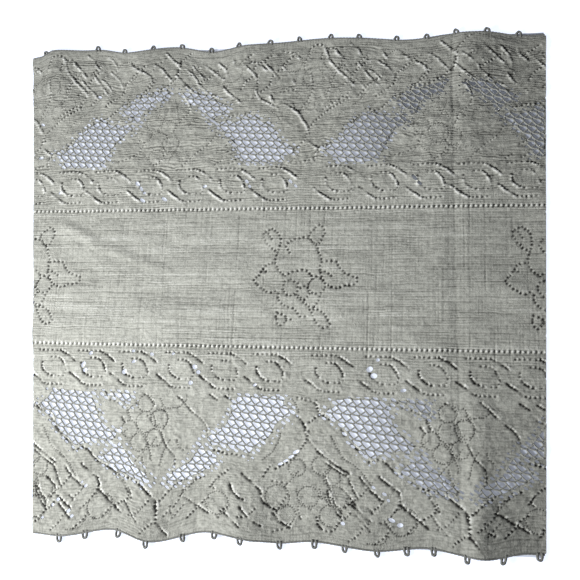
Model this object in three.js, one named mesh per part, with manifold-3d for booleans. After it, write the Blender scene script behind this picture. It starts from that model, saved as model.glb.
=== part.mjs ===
// A cut length of filet lace table runner, lying on a table top with its soft ripples and one crease.
// Millimetres. X runs along the runner, Y across it, Z up from the table. The origin is in the middle
// of the underside. Front is the long edge at -Y, back the one at +Y.

import * as THREE from "three";
import { mergeGeometries, mergeVertices } from "three/addons/utils/BufferGeometryUtils.js";
import Module from "manifold-3d";

// Cloth
const HALF_WIDTH = 200;
const LEFT_END = { front: -182.5, back: -228 };
const RIGHT_END = { front: 199.5, back: 209 };
const THICKNESS = 1.3;
const EYELET_ROW_Y = 55.8;
const EYELET_ROW_HALF = 1.8;
const EYELET_ROW_RISE = 0.6;
const COLUMN_STEP = 10.5;
const COLUMN_CLEARANCE = 0.45;
const FLAT_ROWS = [0, 28, 78, 102, 126];
const RIPPLE_ROWS = [145, 163, 180, 200];

// Crease: a pressed fold line across the runner, lowest on the line and raised beside it
const CREASE = { back: 136, front: 142, rise: 1, shoulder: 9, reach: 34 };

// Long edges: how far each swings out of straight, and the ripples that lift it off the table
const EDGE_BEND_FROM = 120;
const BACK_SWING = [
  { along: -230, out: -3.6 }, { along: -221, out: -3 }, { along: -207, out: 2.3 }, { along: -166, out: 1.5 },
  { along: -138, out: -3.1 }, { along: -96, out: 0 }, { along: -61, out: -5.8 }, { along: -30, out: -2.4 },
  { along: 25, out: 0.9 }, { along: 60, out: -0.2 }, { along: 102, out: -3.8 }, { along: 142, out: -0.7 },
  { along: 158, out: -1.2 }, { along: 195, out: -5.3 }, { along: 212, out: -5 },
];
const FRONT_SWING = [
  { along: -185, out: 3 }, { along: -162, out: 4 }, { along: -117, out: -3.1 }, { along: -87, out: 3.9 },
  { along: -42, out: -5.7 }, { along: -5, out: -1.6 }, { along: 12, out: -1.3 }, { along: 36, out: -3.6 },
  { along: 82, out: 0 }, { along: 118, out: -3.9 }, { along: 158, out: 0.5 }, { along: 188, out: -4.7 },
  { along: 202, out: -4.5 },
];
const BACK_RIPPLES = [
  { along: -206, rise: 2.4, reach: 28 }, { along: -122, rise: 2, reach: 38 },
  { along: -28, rise: 2.8, reach: 36 }, { along: 46, rise: 1.8, reach: 30 },
  { along: 158, rise: 2.8, reach: 34 },
];
const FRONT_RIPPLES = [
  { along: -150, rise: 1.2, reach: 28 }, { along: -97, rise: 2.2, reach: 26 },
  { along: -17, rise: 3.8, reach: 36 }, { along: 72, rise: 1, reach: 36 },
  { along: 157, rise: 3.8, reach: 42 },
];

// Border net: leaf-shaped windows of net on both arms of each V, cut as staggered diamonds.
// across is the window's distance from the V's point along X, up its distance from the centre line.
const REPEAT = 231;
const BACK_POINT = -92.5;
const FRONT_POINT = -84.5;
const NET_WINDOWS = [
  { across: 69, up: 114.5, halfLength: 35, halfWidth: 20, slope: 24 },
  { across: 30, up: 147, halfLength: 28, halfWidth: 11.5, slope: 29 },
];
const WINDOW_FULLNESS = 2.4;
const NET_PITCH = 8.3;
const CUT_PITCH = 1.5 * NET_PITCH;
const CUT_ROW = 6.4;
const NET_BAR = 2.2;
const END_MARGIN = 4;
const CUT_DEPTH = 20;
const CUT_BELOW = 5;

// Picot edging: a cord along each long edge with small thread loops
const SEAM_GAP = 0.3;
const CORD_WIDTH = 1.4;
const BACK_PICOTS = [-215, -167, -142, -116, -90, -64, -40, -13, 12, 38, 62, 92, 116, 140, 164, 188];
const FRONT_PICOTS = [-160, -139, -112, -90, -62, -37, -17, 12, 38, 60, 83, 104, 123, 146, 171, 195];
const PICOT_OUTER = 2.4;
const PICOT_INNER = 1.1;
const PICOT_HALF_SIDES = 4;
const PICOT_SINK = 0.5;
const PICOT_INSET = 0.05;

const LINEN = { color: 0xb4b5ab, roughness: 0.92, metalness: 0 };
const CORD = { color: 0xa3a499, roughness: 0.9, metalness: 0 };

const MERGE_WITHIN = 1e-4;

const wasm = await Module();
wasm.setup();

// A smooth step from 0 at the low value to 1 at the high one.
function ease(value, low, high) {
  const t = THREE.MathUtils.clamp((value - low) / (high - low), 0, 1);
  return t * t * (3 - 2 * t);
}

function endX(end, y) {
  return THREE.MathUtils.mapLinear(y, -HALF_WIDTH, HALF_WIDTH, end.front, end.back);
}

// The outward swing of an edge, blended between the rows of its table.
function swing(rows, x) {
  const next = rows.findIndex((row) => row.along >= x);
  if (next <= 0) return next === 0 ? rows[0].out : rows.at(-1).out;
  const from = rows[next - 1];
  const to = rows[next];
  return THREE.MathUtils.lerp(from.out, to.out, ease(x, from.along, to.along));
}

function outward(x, y) {
  const rows = y > 0 ? BACK_SWING : FRONT_SWING;
  return Math.sign(y) * swing(rows, x) * ease(Math.abs(y), EDGE_BEND_FROM, HALF_WIDTH);
}

// Height of the cloth's underside over the table.
function lift(x, y) {
  const ripples = y > 0 ? BACK_RIPPLES : FRONT_RIPPLES;
  let height = 0;
  for (const ripple of ripples) {
    const away = Math.min(Math.abs(x - ripple.along) / ripple.reach, 1);
    height += (ripple.rise * (1 + Math.cos(Math.PI * away))) / 2;
  }
  height *= ease(Math.abs(y), EDGE_BEND_FROM, HALF_WIDTH);
  const beside = Math.abs(x - endX(CREASE, y));
  const shoulder = beside < CREASE.shoulder
    ? beside / CREASE.shoulder
    : 1 - ease(beside, CREASE.shoulder, CREASE.reach);
  return height + CREASE.rise * shoulder;
}

// A closed sheet over a grid of columns and rows: place(column, row) gives x, y, underside and thickness.
function sheet(columns, rows, place) {
  const positions = [];
  const faces = [];
  const index = (layer, i, j) => (layer * rows + j) * columns + i;
  for (let layer = 0; layer < 2; layer++) {
    for (let j = 0; j < rows; j++) {
      for (let i = 0; i < columns; i++) {
        const spot = place(i, j);
        positions.push(spot.x, spot.y, spot.under + layer * spot.thick);
      }
    }
  }
  const quad = (a, b, c, d) => faces.push(a, b, c, a, c, d);
  const right = columns - 1;
  const back = rows - 1;
  for (let j = 0; j < back; j++) {
    for (let i = 0; i < right; i++) {
      quad(index(1, i, j), index(1, i + 1, j), index(1, i + 1, j + 1), index(1, i, j + 1));
      quad(index(0, i, j), index(0, i, j + 1), index(0, i + 1, j + 1), index(0, i + 1, j));
    }
  }
  for (let i = 0; i < right; i++) {
    quad(index(0, i, 0), index(0, i + 1, 0), index(1, i + 1, 0), index(1, i, 0));
    quad(index(0, i + 1, back), index(0, i, back), index(1, i, back), index(1, i + 1, back));
  }
  for (let j = 0; j < back; j++) {
    quad(index(0, 0, j + 1), index(0, 0, j), index(1, 0, j), index(1, 0, j + 1));
    quad(index(0, right, j), index(0, right, j + 1), index(1, right, j + 1), index(1, right, j));
  }
  const geometry = new THREE.BufferGeometry();
  geometry.setAttribute("position", new THREE.Float32BufferAttribute(positions, 3));
  geometry.setIndex(faces);
  return geometry;
}

function toSolid(geometry) {
  const bare = geometry.clone();
  bare.deleteAttribute("normal");
  bare.deleteAttribute("uv");
  const merged = mergeVertices(bare, MERGE_WITHIN);
  const mesh = new wasm.Mesh({
    numProp: 3,
    vertProperties: Float32Array.from(merged.attributes.position.array),
    triVerts: Uint32Array.from(merged.index.array),
  });
  return new wasm.Manifold(mesh);
}

function toGeometry(solid) {
  const mesh = solid.getMesh();
  const geometry = new THREE.BufferGeometry();
  geometry.setAttribute("position", new THREE.BufferAttribute(mesh.vertProperties, 3));
  geometry.setIndex(new THREE.BufferAttribute(mesh.triVerts, 1));
  geometry.computeVertexNormals();
  return geometry;
}

// Rows across the cloth, with a close group at each eyelet row.
function clothRows() {
  const eyelet = [EYELET_ROW_Y - EYELET_ROW_HALF, EYELET_ROW_Y, EYELET_ROW_Y + EYELET_ROW_HALF];
  const half = [...FLAT_ROWS, ...eyelet, ...RIPPLE_ROWS].sort((a, b) => a - b);
  return [...half.slice(1).reverse().map((y) => -y), ...half];
}

// Columns as shares of the length, with extra ones on the crease.
function clothColumns() {
  const length = RIGHT_END.front - LEFT_END.front;
  const count = Math.round(length / COLUMN_STEP);
  const creaseShare = (part) => (CREASE.front + part * CREASE.shoulder - LEFT_END.front) / length;
  const crease = [-1, -0.5, 0, 0.5, 1].map(creaseShare);
  const clear = (COLUMN_STEP / length) * COLUMN_CLEARANCE;
  const even = Array.from({ length: count + 1 }, (_, i) => i / count);
  const kept = even.filter((share) => crease.every((line) => Math.abs(line - share) > clear));
  return [...kept, ...crease].sort((a, b) => a - b);
}

function clothSheet() {
  const columns = clothColumns();
  const rows = clothRows();
  const onEyelets = (y) => Math.abs(y) === EYELET_ROW_Y;
  return sheet(columns.length, rows.length, (i, j) => {
    const y = rows[j];
    const x = THREE.MathUtils.lerp(endX(LEFT_END, y), endX(RIGHT_END, y), columns[i]);
    return {
      x,
      y: y + outward(x, y),
      under: lift(x, y),
      thick: THICKNESS + (onEyelets(y) ? EYELET_ROW_RISE : 0),
    };
  });
}

// Whether a point lies in a leaf-shaped net window, given from the V's point and the centre line.
function inWindow(window, point) {
  const angle = THREE.MathUtils.degToRad(-window.slope);
  const across = point.x - window.across;
  const up = point.y - window.up;
  const along = (across * Math.cos(angle) + up * Math.sin(angle)) / window.halfLength;
  const beside = (up * Math.cos(angle) - across * Math.sin(angle)) / window.halfWidth;
  return Math.abs(along) ** WINDOW_FULLNESS + Math.abs(beside) ** WINDOW_FULLNESS < 1;
}

function diamond(across, up) {
  const halfWide = CUT_PITCH / 2 - NET_BAR;
  const halfTall = CUT_ROW * (halfWide / (CUT_PITCH / 2));
  const corners = [[halfWide, 0], [0, halfTall], [-halfWide, 0], [0, -halfTall]];
  return corners.map(([dx, dy]) => new THREE.Vector2(across + dx, up + dy));
}

function clearOfEnds({ x, y }) {
  return x > endX(LEFT_END, y) + END_MARGIN && x < endX(RIGHT_END, y) - END_MARGIN;
}

// The diamonds of one arm of a V, from the V's point and the centre line.
function armDiamonds() {
  const found = [];
  for (let row = 0; row * CUT_ROW < HALF_WIDTH; row++) {
    for (let step = 0; step * CUT_PITCH < REPEAT / 2; step++) {
      const corners = diamond((step + (row % 2) / 2) * CUT_PITCH, row * CUT_ROW);
      const inside = (window) => corners.every((corner) => inWindow(window, corner));
      if (NET_WINDOWS.some(inside)) found.push(corners);
    }
  }
  return found;
}

function netDiamonds() {
  const found = [];
  for (const [side, point] of [[-1, FRONT_POINT], [1, BACK_POINT]]) {
    for (let repeat = -1; repeat <= 1; repeat++) {
      for (const arm of [-1, 1]) {
        for (const corners of armDiamonds()) {
          const middle = point + repeat * REPEAT;
          const placed = corners.map(({ x, y }) => new THREE.Vector2(middle + arm * x, side * y));
          if (placed.every(clearOfEnds)) found.push(placed);
        }
      }
    }
  }
  return found;
}

function clothSolid() {
  const prism = { depth: CUT_DEPTH, bevelEnabled: false };
  const cutters = netDiamonds().map((corners) => {
    const cutter = new THREE.ExtrudeGeometry(new THREE.Shape(corners), prism);
    return cutter.translate(0, 0, -CUT_BELOW);
  });
  return toSolid(clothSheet()).subtract(toSolid(mergeGeometries(cutters)));
}

// One edging: the cord that follows the swinging edge, with its picot loops fused on.
function edgingSolid(side) {
  const columns = clothColumns();
  const edge = side * HALF_WIDTH;
  const cord = sheet(columns.length, 2, (i, j) => {
    const x = THREE.MathUtils.lerp(endX(LEFT_END, edge), endX(RIGHT_END, edge), columns[i]);
    const inner = SEAM_GAP + (side > 0 ? j : 1 - j) * CORD_WIDTH;
    return { x, y: edge + outward(x, edge) + side * inner, under: lift(x, edge), thick: THICKNESS };
  });
  let solid = toSolid(cord);
  const ring = new THREE.Shape().absarc(0, 0, PICOT_OUTER, 0, Math.PI * 2);
  ring.holes.push(new THREE.Path().absarc(0, 0, PICOT_INNER, 0, Math.PI * 2, true));
  const depth = THICKNESS - 2 * PICOT_INSET;
  const loopForm = { depth, bevelEnabled: false, curveSegments: PICOT_HALF_SIDES };
  const reach = SEAM_GAP + CORD_WIDTH + PICOT_OUTER - PICOT_SINK;
  for (const x of side > 0 ? BACK_PICOTS : FRONT_PICOTS) {
    const loop = new THREE.ExtrudeGeometry(ring, loopForm);
    loop.translate(x, edge + outward(x, edge) + side * reach, lift(x, edge) + PICOT_INSET);
    solid = solid.add(toSolid(loop));
  }
  return solid;
}

function piece(name, solid, finish) {
  const mesh = new THREE.Mesh(toGeometry(solid), new THREE.MeshStandardMaterial(finish));
  mesh.name = name;
  return mesh;
}

const runner = new THREE.Group();
runner.add(piece("lace_cloth", clothSolid(), LINEN));
runner.add(piece("picot_edging_front", edgingSolid(-1), CORD));
runner.add(piece("picot_edging_back", edgingSolid(1), CORD));

export default runner;
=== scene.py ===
"""Looks of the filet lace table runner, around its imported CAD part. Charts and sizes are in millimetres."""

import functools
import math

import bpy
import numpy as np
from mathutils import Matrix, Vector
from mathutils.geometry import delaunay_2d_cdt


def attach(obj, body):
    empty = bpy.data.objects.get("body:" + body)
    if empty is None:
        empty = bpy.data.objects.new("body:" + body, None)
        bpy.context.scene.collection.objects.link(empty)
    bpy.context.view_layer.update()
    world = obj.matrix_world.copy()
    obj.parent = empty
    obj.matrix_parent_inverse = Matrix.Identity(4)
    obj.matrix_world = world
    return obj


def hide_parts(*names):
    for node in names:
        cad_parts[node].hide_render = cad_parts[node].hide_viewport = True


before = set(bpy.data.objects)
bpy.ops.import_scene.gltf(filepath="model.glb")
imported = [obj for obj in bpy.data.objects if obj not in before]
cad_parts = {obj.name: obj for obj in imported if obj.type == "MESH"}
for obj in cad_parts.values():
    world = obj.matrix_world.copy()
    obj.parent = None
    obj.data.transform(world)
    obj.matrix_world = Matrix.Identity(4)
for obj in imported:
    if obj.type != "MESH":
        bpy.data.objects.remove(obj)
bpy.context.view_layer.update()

# Centre panel
# The plain middle of the runner: one cotton cloth, which the loom weaves together with the lace beside it.
# Flowers show on it as rows of pin-holes, where crossed threads pull apart. It lies loose, in soft ripples.
MM = 0.001
HALF_WIDTH = 200.0
LEFT_END_FRONT, LEFT_END_BACK = -182.5, -228.0
RIGHT_END_FRONT, RIGHT_END_BACK = 199.5, 209.0
THICKNESS = 1.3
BEAD_PITCH = 3.715
WEFT_PITCH = 1.95
LOOM_STEP = BEAD_PITCH / 5
PANEL_EDGE = 53.5
PANEL_ROWS = 138
BAND_EDGE = 92.0
EDGE_BEND_FROM = 120.0
# Swing of each long edge, outwards: place along and distance.
BACK_SWING = (
    (-230, -3.6), (-221, -3), (-207, 2.3), (-166, 1.5), (-138, -3.1), (-96, 0), (-61, -5.8), (-30, -2.4),
    (25, 0.9), (60, -0.2), (102, -3.8), (142, -0.7), (158, -1.2), (195, -5.3), (212, -5),
)
FRONT_SWING = (
    (-185, 3), (-162, 4), (-117, -3.1), (-87, 3.9), (-42, -5.7), (-5, -1.6), (12, -1.3), (36, -3.6),
    (82, 0), (118, -3.9), (158, 0.5), (188, -4.7), (202, -4.5),
)
# Ripples at each long edge: place of the crest, rise and reach.
BACK_RIPPLES = ((-206, 2.4, 28), (-122, 2, 38), (-28, 2.8, 36), (46, 1.8, 30), (158, 2.8, 34))
FRONT_RIPPLES = ((-150, 1.2, 28), (-97, 2.2, 26), (-17, 3.8, 36), (72, 1, 36), (157, 3.8, 42))
CREASE_FRONT, CREASE_BACK = 142.0, 136.0
CREASE_RISE, CREASE_SHOULDER, CREASE_REACH = 0.45, 9.0, 34.0
CREASE_LINE_DEPTH, CREASE_LINE_WIDTH = 0.25, 0.7
# A ridge stands on the right of the crease and grows through the front border.
CREST_RISE, CREST_ASIDE, CREST_FROM, CREST_FULL = 1.8, 13.0, 80.0, 140.0
# Low soft folds along the panel: the line of each crest, its rise and its half width.
SOFT_FOLDS = (
    (((-228, -52), (-178, -45), (-60, -29), (43, -18), (139, -9), (209, -3)), 1.9, 19),
    (((-215, -22), (-172, -13), (-60, 8), (10, 17)), 0.5, 11),
    (((-215, 50), (-180, 43), (-148, 25), (-110, 11), (-70, 0)), 1.0, 8),
)
FOLD_FADE = 30.0


def ease(value, low, high):
    share = np.clip((value - low) / (high - low), 0.0, 1.0)
    return share * share * (3.0 - 2.0 * share)


def eased_between(x, points):
    places, values = np.array(points, float).T
    spot = np.clip(np.searchsorted(places, x) - 1, 0, len(places) - 2)
    return values[spot] + (values[spot + 1] - values[spot]) * ease(x, places[spot], places[spot + 1])


def front_to_back(y, front, back):
    return front + (back - front) * (y + HALF_WIDTH) / (2 * HALF_WIDTH)


def ends_at(y):
    """Where the left and the right cut end lie, at a place across the runner."""
    left = front_to_back(y, LEFT_END_FRONT, LEFT_END_BACK)
    return left, front_to_back(y, RIGHT_END_FRONT, RIGHT_END_BACK)


def edge_swing(x, y):
    """How far the cloth is drawn out of its straight outline, towards +Y."""
    swing = np.where(y > 0, eased_between(x, BACK_SWING), -eased_between(x, FRONT_SWING))
    return swing * ease(np.abs(y), EDGE_BEND_FROM, HALF_WIDTH)


def bump(away, reach):
    return (1 + np.cos(np.pi * np.minimum(np.abs(away) / reach, 1))) / 2


def ripple_rise(x, ripples):
    return sum(rise * bump(x - along, reach) for along, rise, reach in ripples)


def beside_crease(x, y):
    return x - front_to_back(y, CREASE_FRONT, CREASE_BACK)


def fold_rise(x, y):
    rise = 0.0
    for crest, height, half_width in SOFT_FOLDS:
        along, across = np.array(crest, float).T
        shown = ease(x, along[0], along[0] + FOLD_FADE) * ease(along[-1] - x, 0, FOLD_FADE)
        rise = rise + height * shown * bump(y - np.interp(x, along, across), half_width)
    return rise


def lift(x, y):
    """Height of the underside over the table: ripples at both long edges, soft folds and the crease."""
    ripples = np.where(y > 0, ripple_rise(x, BACK_RIPPLES), ripple_rise(x, FRONT_RIPPLES))
    beside = np.abs(beside_crease(x, y))
    falling = 1 - ease(beside, CREASE_SHOULDER, CREASE_REACH)
    shoulder = np.where(beside < CREASE_SHOULDER, ease(beside, 0, CREASE_SHOULDER), falling)
    crest = ease(-y, CREST_FROM, CREST_FULL) * bump(beside_crease(x, y) - CREST_ASIDE, CREST_ASIDE)
    height = ripples * ease(np.abs(y), EDGE_BEND_FROM, HALF_WIDTH) + fold_rise(x, y)
    return height + CREASE_RISE * shoulder + CREST_RISE * crest


NOISE_CELLS = 1024


@functools.cache
def noise_lumps(seed):
    return np.random.default_rng(seed).uniform(-1, 1, (NOISE_CELLS, NOISE_CELLS))


def unevenness(x, y, long, wide, seed):
    """Seeded smooth noise from -1 to 1, its lumps long mm along the runner and wide mm across it."""
    along, across = np.asarray(x) / long + NOISE_CELLS, np.asarray(y) / wide + NOISE_CELLS
    lumps = noise_lumps(seed)
    i, j = np.floor(along).astype(int), np.floor(across).astype(int)
    s, t = ease(along - i, 0, 1), ease(across - j, 0, 1)
    i, j, right, up = i % NOISE_CELLS, j % NOISE_CELLS, (i + 1) % NOISE_CELLS, (j + 1) % NOISE_CELLS
    low = lumps[j, i] * (1 - s) + lumps[j, right] * s
    high = lumps[up, i] * (1 - s) + lumps[up, right] * s
    return low * (1 - t) + high * t


RELIEF_BLEND = 3.0
WARP_PITCH = 3 * LOOM_STEP
BACK_CRINKLE = 1.6
# Size in mm of each form of the weave, on the centre panel and in the lace.
WARPS, WRINKLES, GRAIN, PUCKERS = (0.12, 0.07), (0.3, 0.1), (0.12, 0.16), (0.5, 1.0)
# Depth in mm of the grooves between weft ribs, and the shade painted into them.
PLAIN_RIBS, FRONT_RIBS, BACK_RIBS = (0.55, 0.44), (0.28, 0.24), (0.8, 0.52)
# Raised wefts: rise in mm, painted highlight and length of their lumps.
RIDGE_RISE, RIDGE_LIT, RIDGE_LONG = 0.25, 0.38, 46.0
FRONT_PUCKER = 0.55
# Painted shade in warp grooves, standing wrinkles and the crease's line; painted shading of the grain,
# lighter where raised.
WARP_DARK, WRINKLE_DARK, FOLD_DARK = 0.1, 0.14, 0.15
GRAIN_SHADING = 0.17
HEM_FROM, HEM_GATHER, HEM_GATHER_RISE = 191.0, 2.3, 0.16
WRINKLE_GAP, WRINKLE_WIDTH, WRINKLE_REACH, WRINKLE_SHIFT = 3.2, 0.45, 4.0, 1.6
# Layers of noise: share, then length and width of the lumps in mm, and the seed.
GRAIN_LAYERS = ((1.0, 2.2, 0.8, 19), (0.7, 0.8, 1.5, 13))
CRUMPLE_LAYERS = ((1.8, 3.2, 2.7, 16),)
PUCKER_LAYERS = ((1.0, 21, 14, 17), (0.5, 9, 6, 18))
GATHER_LAYERS = ((1.0, 26, 40, 28),)
WARP_WOBBLE = ((0.5, 9, 24, 15),)
WRINKLE_WOBBLE = ((0.6, 1.0, 26, 24), (0.2, 1.0, 7, 25))
CREASE_WOBBLE = ((0.8, 1.0, 11, 27),)
# Wander of the wefts: share on the panel and what the lace adds, then the lumps as above.
WEFT_WANDER = ((0.6, 0.7, 16, 9, 11), (0.2, 0.35, 6, 3, 10))
# How strongly a thread shows along its length: middle and spread, then the lumps as above, and its limits.
WEFT_SHOWN, WARP_SHOWN = (0.65, 0.7, 34, WEFT_PITCH, 12), (0.6, 0.8, WARP_PITCH, 21, 14)
RIDGE_SHOWN, WRINKLE_SHOWN = (-0.25, 1.8, RIDGE_LONG, WEFT_PITCH, 29), (0.3, 0.9, 1.0, 27, 26)
THREAD_LIMITS = (0.1, 1.3)
# Painted shade: the cloth is drawn a little darker in the lace, towards the front edge, the left front, the
# right end and its lace.
LACE_SHADE, FRONT_SHADE, LEFT_SHADE, RIGHT_SHADE, END_SHADE = 0.04, 0.08, 0.08, 0.08, 0.12
FRONT_SHADE_ACROSS, RIGHT_SHADE_ALONG = (140, HALF_WIDTH), (90, 205)
LEFT_SHADE_ALONG, LEFT_SHADE_ACROSS = (0, 160), (80, 150)
END_SHADE_ALONG, END_SHADE_ACROSS = (0, 25), (PANEL_EDGE, 120)


def layered(x, y, layers):
    return sum(share * unevenness(x, y, *lumps) for share, *lumps in layers)


def patchy(x, y, shown, least=0, most=1):
    middle, spread, *lumps = shown
    return np.clip(spread * unevenness(x, y, *lumps) + middle, least, most)


def standing_wrinkles(x, y):
    """Thin wrinkles across the runner, where the washed warp has drawn up, uneven in place and depth."""
    chance = np.random.default_rng(23)
    found = np.zeros(x.shape)
    for along in np.arange(LEFT_END_BACK, RIGHT_END_BACK, WRINKLE_GAP):
        place = along + chance.uniform(-WRINKLE_SHIFT, WRINKLE_SHIFT)
        near = np.abs(x[0] - place) < WRINKLE_REACH
        line = np.full((len(x), near.sum()), place)
        down = y[:, near]
        wobble = layered(line, down, WRINKLE_WOBBLE)
        depth = patchy(line, down, WRINKLE_SHOWN) * chance.uniform(0.3, 1.2)
        found[:, near] += depth * np.exp(-(((x[:, near] - place - wobble) / WRINKLE_WIDTH) ** 2))
    return found


def painted_shade(x, y, lace):
    """Painted shade: how much darker the cloth is drawn than in the middle of the centre panel."""
    shade = LACE_SHADE * lace + FRONT_SHADE * ease(-y, *FRONT_SHADE_ACROSS)
    shade += LEFT_SHADE * ease(-x, *LEFT_SHADE_ALONG) * ease(-y, *LEFT_SHADE_ACROSS)
    shade += RIGHT_SHADE * ease(x, *RIGHT_SHADE_ALONG)
    at_end = ease(beside_crease(x, y), *END_SHADE_ALONG) * ease(np.abs(y), *END_SHADE_ACROSS)
    return shade + END_SHADE * at_end


def woven_grain(x, y):
    """Relief of the weave in mm and its painted shading, from -1, painted highlight, to 1, painted shade:
    grooves and raised wefts, warp grooves, standing wrinkles, grain, crumples, slow puckers, the crease's own
    line and the gathers of the hem. Most have one size on the centre panel and another in the borders, where
    the lace crinkles."""
    lace = ease(np.abs(y), PANEL_EDGE - RELIEF_BLEND, BAND_EDGE + RELIEF_BLEND)
    crinkle = lace * np.where(y > 0, BACK_CRINKLE, 1.0)
    wander = sum((plain + more * crinkle) * unevenness(x, y, *lumps) for plain, more, *lumps in WEFT_WANDER)
    wefts = np.cos(2 * np.pi * (y + wander) / WEFT_PITCH)
    warps = np.cos(2 * np.pi * (x + layered(x, y, WARP_WOBBLE)) / WARP_PITCH)
    groove = (0.5 + 0.5 * wefts) ** 2 * patchy(x, y, WEFT_SHOWN, *THREAD_LIMITS)
    warp = (0.5 + 0.5 * warps) ** 2 * patchy(x, y, WARP_SHOWN, *THREAD_LIMITS)
    ridge = (0.5 - 0.5 * wefts) ** 2 * patchy(x, y, RIDGE_SHOWN) * (1 - 0.8 * lace)
    wrinkle = standing_wrinkles(x, y)
    grain = layered(x, y, GRAIN_LAYERS)
    crumple = lace * layered(x, y, CRUMPLE_LAYERS)
    pucker = layered(x, y, PUCKER_LAYERS) * np.where(y > 0, 1, 1 + (FRONT_PUCKER - 1) * lace)
    fold_wobble = layered(np.zeros_like(y), y, CREASE_WOBBLE)
    fold_line = np.exp(-(((beside_crease(x, y) - fold_wobble) / CREASE_LINE_WIDTH) ** 2))
    hem = ease(np.abs(y), HEM_FROM, HALF_WIDTH)
    gather = HEM_GATHER_RISE * hem * np.cos(2 * np.pi * x / HEM_GATHER) * layered(x, y, GATHER_LAYERS)
    sizes = [plain + (crinkled - plain) * lace for plain, crinkled in (WARPS, WRINKLES, GRAIN, PUCKERS)]
    forms = (-warp, -wrinkle, grain + crumple, pucker)
    rib_depth, rib_shade = (
        plain + (np.where(y > 0, back, front) - plain) * lace
        for plain, front, back in zip(PLAIN_RIBS, FRONT_RIBS, BACK_RIBS)
    )
    raised = sum(size * form for size, form in zip(sizes, forms)) - rib_depth * groove + RIDGE_RISE * ridge
    # Painted shading: shade in weft grooves, wrinkles, warp grooves and the crease's line, highlight on
    # raised grain and wefts, and the broad painted shade.
    painted_shading = rib_shade * groove + WRINKLE_DARK * wrinkle * (1 - lace) + WARP_DARK * warp * (1 - 0.7 * lace)
    painted_shading += FOLD_DARK * fold_line - GRAIN_SHADING * grain - RIDGE_LIT * ridge + painted_shade(x, y, lace)
    return (1 - 0.5 * hem) * raised + gather - CREASE_LINE_DEPTH * fold_line, painted_shading


CHART_SPACING, SPAN_POINTS = 0.45, 12


def drawn(points, closed=False):
    """Evenly spaced points along a smooth line through the charted ones."""
    p = np.array(points, float)
    ends = (p[-1:], p[:2]) if closed else (2 * p[:1] - p[1:2], 2 * p[-1:] - p[-2:-1])
    p = np.vstack([ends[0], p, ends[1]])
    t = np.linspace(0, 1, SPAN_POINTS, endpoint=False)[:, None]
    spans = [
        b + 0.5 * (t * (c - a) + t**2 * (2 * a - 5 * b + 4 * c - d) + t**3 * (3 * b - a - 3 * c + d))
        for a, b, c, d in zip(p, p[1:], p[2:], p[3:])
    ]
    line = np.vstack([*spans, p[-2:-1]])
    along = np.concatenate([[0.0], np.cumsum(np.hypot(*np.diff(line, axis=0).T))])
    marks = np.arange(0, along[-1], CHART_SPACING)
    return np.stack([np.interp(marks, along, line[:, k]) for k in (0, 1)], axis=1)


HOLE_RADIUS, SINK_REACH = 0.72, 2.2
LEVEL_SPACING, STEEP_SPACING, FALLING_SPACING, THIN_SPACING = BEAD_PITCH, 2.9, 2.3, 1.9
# Degrees over which a line turns steep, falling or rising; the second pair is taken from upright.
STEEP_FROM, FALLING_FROM, RISING_FROM = (14, 40), ((14, 34), (4, 20)), ((18, 38), (6, 24))
BEAD_ASIDE, BEAD_SIZE = 1.4, (0.9, 1.35)
THIN_LINE, THIN_BEAD = 0.75, 0.35
# Depth of holes on full and on thin lines, then share left out and stretch of the beads on falling lines,
# for beads that lie above their line and for beads that lie below it.
BEADS_ABOVE, BEADS_BELOW = (1.0, 1.0, 0.35, 0.0), (0.75, 0.45, 0.1, 0.35)


def sink(depth, xs, ys, place, run, long, wide, strength):
    """Sinks one oval hole, lying along run, into a grid of depths, at the nearest crossing of threads."""
    x, y = xs[np.abs(xs - place[0]).argmin()], ys[np.abs(ys - place[1]).argmin()]
    reach = SINK_REACH * long
    i = slice(*np.searchsorted(xs, (x - reach, x + reach)))
    j = slice(*np.searchsorted(ys, (y - reach, y + reach)))
    right, up = (xs[i] - x)[None], (ys[j] - y)[:, None]
    along, aside = right * run[0] + up * run[1], up * run[0] - right * run[1]
    depth[j, i] = np.maximum(depth[j, i], strength * np.exp(-((along / long) ** 2) - (aside / wide) ** 2))


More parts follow.
